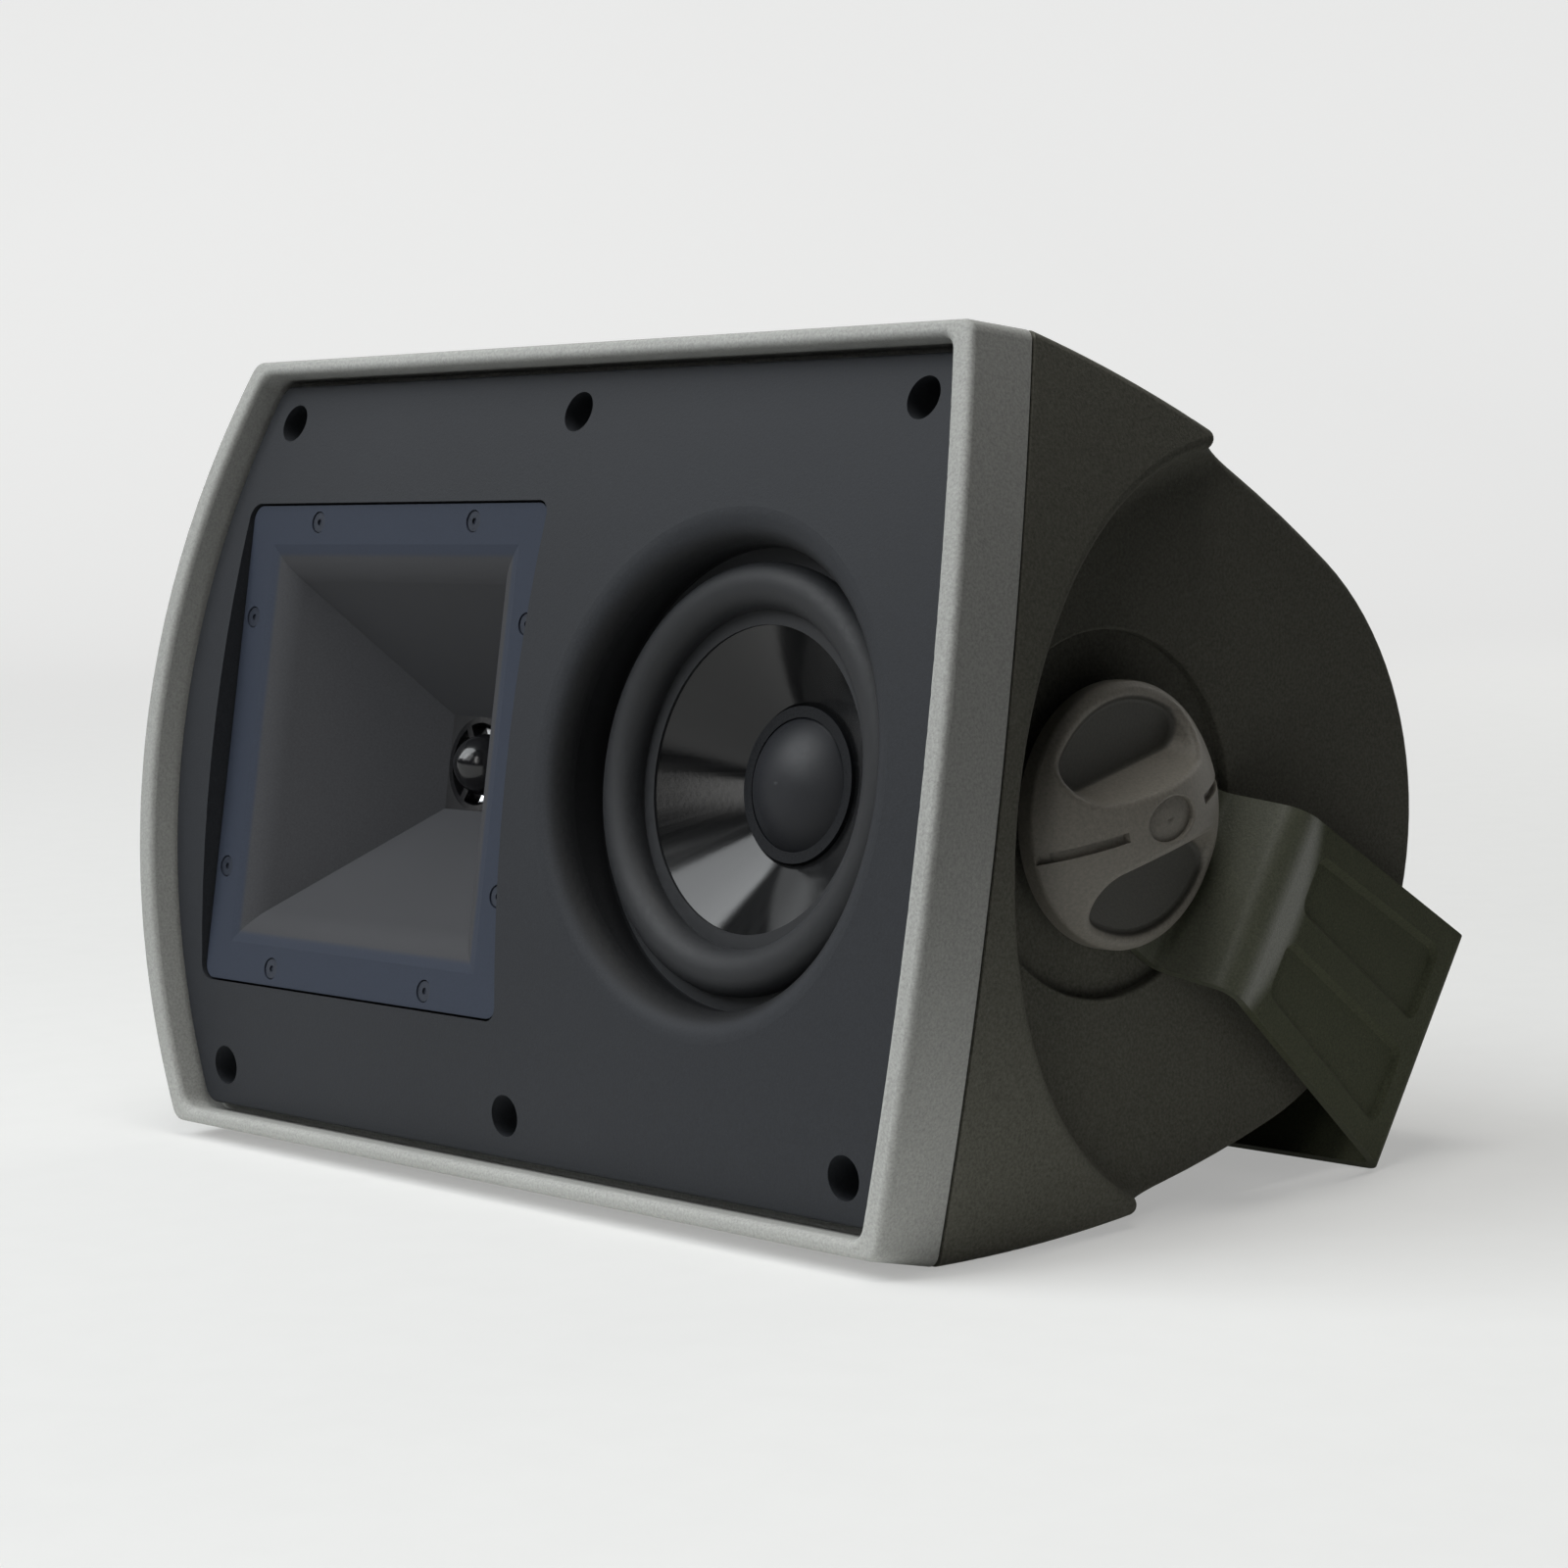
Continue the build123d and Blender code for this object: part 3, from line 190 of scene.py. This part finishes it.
def scoop_painted_shade_mask(tree, place):
    """1 on the floors of the finger scoops of either knob, where a darker tone is partly painted shade of
    the scoops and partly their own darker finish.
    """
    low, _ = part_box("right_knob")
    floor = low[0] + SCOOP_FLOOR
    across = add(tree, "ShaderNodeSeparateXYZ", {"Vector": place}).outputs["X"]
    across = add(tree, "ShaderNodeMath", {0: across}, operation="ABSOLUTE").outputs[0]
    deep = step(tree, across, floor + SCOOP_NONE, floor + SCOOP_FULL)
    inside = step(tree, off_knobs(tree, place), SCOOP_RADIUS + SCOOP_EDGE, SCOOP_RADIUS)
    return times(tree, deep, inside)


def ring_mask(tree, place):
    """1 on the glued ring round the dust cap."""
    reach = off_axis(tree, place, middle("dust_cap"), FRONT)
    return step(tree, reach, DUST_RING - DUST_EDGE, DUST_RING)


def woofer_painted_shade_mask(tree, place):
    """1 down the rolled opening round the woofer, where a darker tone paints the shade in the opening."""
    return step(tree, off_axis(tree, place, middle("woofer_surround"), FRONT), WOOFER_LIP, WOOFER_WALL)


def fold_painted_sheen_mask(tree, place):
    """1 on the flat ends and the folds of the bracket, by the knobs, and 0 along its arms; there a lighter
    tone paints a sheen, with a glossier finish.
    """
    return step(tree, off_knobs(tree, place), FOLD_END + FOLD_FADE, FOLD_END)


def moulded(name, colour, rough, grain, depth, contrast, specks=0.0, level=0.5,
            mask=None, second=None, second_rough=None, second_level=None):
    """Moulded or painted surface: sand grain, slow patches, a few pale specks, and a second tone, which is
    painted shade down the woofer's opening and in the knob scoops, and a painted sheen on the bracket's
    folds.
    """
    material, tree, shader, place = start(name)
    fine = noise(tree, place, grain, 4.0, 0.65)
    slow = noise(tree, place, PATCH_SCALE, 2.0)
    tone = tinted(tree, fine, colour, 1 - contrast, 1 + contrast)
    tone = mix(tree, 1.0, tone, ramp(tree, slow, PATCH_STOPS), "MULTIPLY")
    if specks:
        dots = add(tree, "ShaderNodeTexVoronoi", {"Vector": place, "Scale": SPECK_SCALE}).outputs["Distance"]
        bright = mix(tree, specks, (0.0, 0.0, 0.0), ramp(tree, dots, SPECK_STOPS))
        tone = mix(tree, bright, tone, shade(colour, SPECK_GAIN))
    gloss = span(tree, fine, rough - GLOSS_SPREAD, rough + GLOSS_SPREAD)
    shader.inputs["Specular IOR Level"].default_value = level
    if mask:
        share = mask(tree, place)
        tone = mix(tree, share, tone, tinted(tree, fine, second, 1 - contrast, 1 + contrast))
        if second_rough:
            gloss = mix(tree, share, gloss, (second_rough,) * 3)
        if second_level:
            shine = mix(tree, share, (level,) * 3, (second_level,) * 3)
            tree.links.new(shine, shader.inputs["Specular IOR Level"])
    tree.links.new(tone, shader.inputs["Base Color"])
    tree.links.new(gloss, shader.inputs["Roughness"])
    emboss(tree, shader, fine, depth, GRAIN_HEIGHT)
    return material


def metal(name, colour, rough=0.3, stretch=(40.0, 2200.0, 40.0), depth=0.05):
    """Turned or drawn metal with fine lines along one direction."""
    material, tree, shader, place = start(name)
    lines = add(tree, "ShaderNodeMapping", {"Vector": place, "Scale": stretch}).outputs["Vector"]
    fine = noise(tree, lines, 1.0)
    slow = noise(tree, place, 25.0, 2.0)
    tree.links.new(tinted(tree, fine, colour, 0.82, 1.08), shader.inputs["Base Color"])
    tree.links.new(span(tree, slow, rough - 0.06, rough + 0.08), shader.inputs["Roughness"])
    shader.inputs["Metallic"].default_value = 1.0
    emboss(tree, shader, fine, depth, LINE_HEIGHT)
    return material


def cone_plastic(name, colour):
    """Glossy moulded cone with faint streaks that run out from its middle."""
    material, tree, shader, place = start(name)
    shift = [-value for value in middle("woofer_cone")]
    local = add(tree, "ShaderNodeMapping", {"Vector": place, "Location": shift}).outputs["Vector"]
    parts = add(tree, "ShaderNodeSeparateXYZ", {"Vector": local}).outputs
    angle = add(tree, "ShaderNodeMath", {0: parts["Z"], 1: parts["X"]}, operation="ARCTAN2").outputs[0]
    around = add(tree, "ShaderNodeCombineXYZ", {"X": angle}).outputs["Vector"]
    streak = noise(tree, around, 9.0, 5.0, 0.7)
    fine = noise(tree, place, 900.0, 2.0)
    tree.links.new(tinted(tree, streak, colour, 0.7, 1.35), shader.inputs["Base Color"])
    tree.links.new(span(tree, streak, 0.1, 0.18), shader.inputs["Roughness"])
    shader.inputs["Specular IOR Level"].default_value = 0.38
    emboss(tree, shader, fine, 0.02, LINE_HEIGHT)
    return material


finishes = {
    "bezel": moulded("bezel_paint", (0.36, 0.363, 0.347),
                     rough=0.6, grain=1500.0, depth=0.16, contrast=0.2, level=0.06),
    "cabinet": moulded("cabinet_plastic", (0.111, 0.109, 0.091),
                       rough=0.75, grain=1300.0, depth=0.3, contrast=0.3, specks=0.1, level=0.05),
    # Baffle: the darker second tone down the woofer's rolled opening is painted shade.
    "baffle": moulded("baffle_plastic", (0.024, 0.026, 0.03),
                      rough=0.62, grain=1600.0, depth=0.12, contrast=0.2, specks=0.1, level=0.2,
                      mask=woofer_painted_shade_mask, second=(0.009, 0.0095, 0.0105)),
    "horn": moulded("horn_plastic", (0.048, 0.049, 0.053),
                    rough=0.55, grain=1900.0, depth=0.06, contrast=0.12, level=0.15,
                    mask=flange_mask, second=(0.032, 0.039, 0.056)),
    # Knob: the darker second tone on the scoop floors is partly painted shade of the scoops and partly their
    # darker finish.
    "knob": moulded("knob_plastic", (0.205, 0.191, 0.164),
                    rough=0.5, grain=1300.0, depth=0.2, contrast=0.2, level=0.35,
                    mask=scoop_painted_shade_mask, second=(0.052, 0.05, 0.042)),
    # Bracket: the lighter second tone on the folds by the knobs is a painted sheen; its lower roughness and
    # higher level are a glossier finish.
    "bracket": moulded("bracket_paint_with_painted_sheen", (0.076, 0.081, 0.053),
                       rough=0.58, grain=1700.0, depth=0.14, contrast=0.3, specks=0.25, level=0.03,
                       mask=fold_painted_sheen_mask, second=(0.09, 0.095, 0.067), second_rough=0.36, second_level=0.6),
    "rubber": moulded("black_rubber", (0.015, 0.016, 0.018),
                      rough=0.6, grain=800.0, depth=0.08, contrast=0.2, level=0.35),
    "dust": moulded("dust_cap_plastic", (0.014, 0.015, 0.018),
                    rough=0.5, grain=1500.0, depth=0.05, contrast=0.12, level=0.3,
                    mask=ring_mask, second=(0.012, 0.013, 0.015), second_rough=0.25),
    "black": moulded("black_paint", (0.012, 0.012, 0.013),
                     rough=0.45, grain=900.0, depth=0.1, contrast=0.2, level=0.4),
    "dark": metal("black_screw", (0.04, 0.04, 0.042), rough=0.35, stretch=(300.0, 300.0, 300.0)),
    "steel": metal("plated_steel", (0.55, 0.55, 0.54), rough=0.35),
    "bright": metal("bright_foil", (0.8, 0.81, 0.83), rough=0.16, stretch=(120.0, 120.0, 120.0), depth=0.02),
    "plug": moulded("plug_plastic", (0.01, 0.01, 0.011),
                    rough=0.16, grain=900.0, depth=0.02, contrast=0.2),
    "blued": moulded("blued_screw", (0.026, 0.031, 0.043),
                     rough=0.45, grain=900.0, depth=0.1, contrast=0.2, level=0.25),
    "ferrite": moulded("ferrite", (0.02, 0.02, 0.022),
                       rough=0.5, grain=500.0, depth=0.2, contrast=0.3),
    "copper": metal("copper_wire", (0.62, 0.3, 0.13), stretch=(20.0, 2600.0, 20.0), depth=0.3),
    "brass": metal("brass", (0.68, 0.5, 0.2)),
    "cloth": moulded("spider_cloth", (0.35, 0.25, 0.1),
                     rough=0.85, grain=1900.0, depth=0.5, contrast=0.3),
    "board": moulded("circuit_board", (0.08, 0.06, 0.02),
                     rough=0.5, grain=600.0, depth=0.1, contrast=0.2),
    "film": moulded("capacitor_film", (0.42, 0.3, 0.03),
                    rough=0.3, grain=300.0, depth=0.02, contrast=0.08),
    "cone": cone_plastic("cone_plastic", (0.007, 0.0072, 0.0075)),
}

worn_by = {
    "bezel": ["front_bezel"],
    "cabinet": ["cabinet_shell"],
    "baffle": ["baffle", "terminal_cup"],
    "horn": ["horn"],
    "knob": ["right_knob", "left_knob", "binding_post_caps"],
    "bracket": ["bracket", "woofer_basket"],
    "rubber": ["seam_gasket", "horn_gasket", "woofer_gasket", "woofer_surround", "rubber_washers"],
    "dust": ["dust_cap"],
    "black": ["tweeter_front_plate", "resistors", "knob_washers"],
    "blued": ["horn_screws"],
    "dark": ["baffle_screws", "tweeter_screws", "woofer_screws", "terminal_screws", "board_screws"],
    "steel": ["tweeter_back_plate", "woofer_top_plate", "woofer_back_plate",
              "right_knob_stud", "left_knob_stud"],
    "bright": ["tweeter_diaphragm", "voice_coil_former"],
    "plug": ["phase_plug"],
    "ferrite": ["tweeter_magnet", "woofer_magnet"],
    "copper": ["voice_coil_winding", "inductors"],
    "brass": ["binding_posts", "threaded_inserts"],
    "cloth": ["spider"],
    "board": ["crossover_board"],
    "film": ["capacitors"],
    "cone": ["woofer_cone"],
}
for finish, names in worn_by.items():
    for name in names:
        slots = nodes[name].data.materials
        slots.clear()
        slots.append(finishes[finish])


def paper():
    """Pale paper with faint fibres, lifted to an even white for the camera and for reflections."""
    material, tree, shader, place = start("backdrop_paper")
    path = add(tree, "ShaderNodeLightPath").outputs
    seen = path["Is Camera Ray"]
    for kind in ("Is Glossy Ray", "Is Transmission Ray"):
        seen = add(tree, "ShaderNodeMath", {0: seen, 1: path[kind]}, operation="MAXIMUM").outputs[0]
    fibre = noise(tree, place, 60.0)
    tone = ramp(tree, fibre, [(NOISE_LOW, (0.425, 0.427, 0.422)), (NOISE_HIGH, (0.435, 0.437, 0.432))])
    reach = off_axis(tree, place, (0.0, 0.0, 0.0), UPWARD)
    far = step(tree, reach, BOUNCE_NEAR, BOUNCE_FAR)
    unseen = mix(tree, far, (0.92, 0.92, 0.9), (0.1, 0.1, 0.1))
    tree.links.new(mix(tree, seen, unseen, tone), shader.inputs["Base Color"])
    shader.inputs["Roughness"].default_value = 0.9
    shader.inputs["Specular IOR Level"].default_value = 0.1
    lift = ramp(tree, times(tree, reach, LIFT_PER_METRE), [
        (0.1, (0.36, 0.36, 0.355)),
        (0.3, (0.49, 0.49, 0.485)),
        (0.5, (0.63, 0.63, 0.625)),
        (0.64, (0.7, 0.7, 0.695)),
    ])
    glow = add(tree, "ShaderNodeEmission", {"Color": lift, "Strength": seen})
    both = add(tree, "ShaderNodeAddShader", {0: shader.outputs["BSDF"], 1: glow.outputs["Emission"]})
    tree.links.new(both.outputs["Shader"], tree.nodes["Material Output"].inputs["Surface"])
    return material


def lay_paper():
    """Pale floor that curves up behind the object."""
    profile = [(-PAPER_REACH, 0.0), (WALL_START, 0.0)]
    for index in range(1, BEND_STEPS + 1):
        angle = math.pi / 2 * index / BEND_STEPS
        profile.append((WALL_START + WALL_BEND * math.sin(angle), WALL_BEND * (1 - math.cos(angle))))
    profile.append((WALL_START + WALL_BEND, WALL_TOP))
    turn = Matrix.Rotation(PAPER_TURN, 4, "Z")
    points = [turn @ Vector((side * PAPER_REACH, y, z)) for y, z in profile for side in (-1, 1)]
    faces = [(2 * i, 2 * i + 1, 2 * i + 3, 2 * i + 2) for i in range(len(profile) - 1)]
    mesh = bpy.data.meshes.new("backdrop")
    mesh.from_pydata(points, [], faces)
    for face in mesh.polygons:
        face.use_smooth = True
    backdrop = bpy.data.objects.new("backdrop", mesh)
    scene.collection.objects.link(backdrop)
    mesh.materials.append(paper())


def lamp(name, place, wide, tall, power, colour):
    """Soft rectangular lamp that faces the object."""
    data = bpy.data.lights.new(name, "AREA")
    data.shape = "RECTANGLE"
    data.size = wide
    data.size_y = tall
    data.energy = power
    data.color = colour
    made = bpy.data.objects.new(name, data)
    made.location = place
    made.rotation_euler = (LAMP_AIM - Vector(place)).to_track_quat("-Z", "Y").to_euler()
    scene.collection.objects.link(made)


def light():
    """Dim world, a large window at the front left, and smaller lamps round the object."""
    world = bpy.data.worlds.new("studio")
    scene.world = world
    world.use_nodes = True
    inputs = world.node_tree.nodes["Background"].inputs
    inputs["Color"].default_value = WORLD_COLOUR
    inputs["Strength"].default_value = WORLD_STRENGTH
    lamp("window", (-0.8, -1.4, 1.8), 1.8, 1.6, 49.0, (0.95, 0.98, 1.0))
    lamp("front", (-0.1, -1.7, 1.2), 1.0, 1.0, 6.0, (0.97, 0.99, 1.0))
    lamp("strip", (0.98, -1.66, 0.91), 0.28, 1.0, 3.2, (1.0, 0.99, 0.97))
    lamp("sky", (0.28, -0.3, 2.0), 0.8, 0.8, 15.0, (1.0, 0.99, 0.96))
    lamp("back", (-0.3, 2.0, 1.3), 1.2, 1.2, 10.0, (1.0, 0.99, 0.95))


def aim_camera():
    """Camera where the photograph was taken from."""
    data = bpy.data.cameras.new("camera")
    data.sensor_width = SENSOR_MM
    data.lens = LENS_MM
    camera = bpy.data.objects.new("camera", data)
    axes = Matrix((CAMERA_RIGHT, CAMERA_UP, CAMERA_RIGHT.cross(CAMERA_UP))).transposed()
    camera.matrix_world = Matrix.Translation(CAMERA_PLACE) @ axes.to_4x4()
    scene.collection.objects.link(camera)
    scene.camera = camera


lay_paper()
light()
aim_camera()
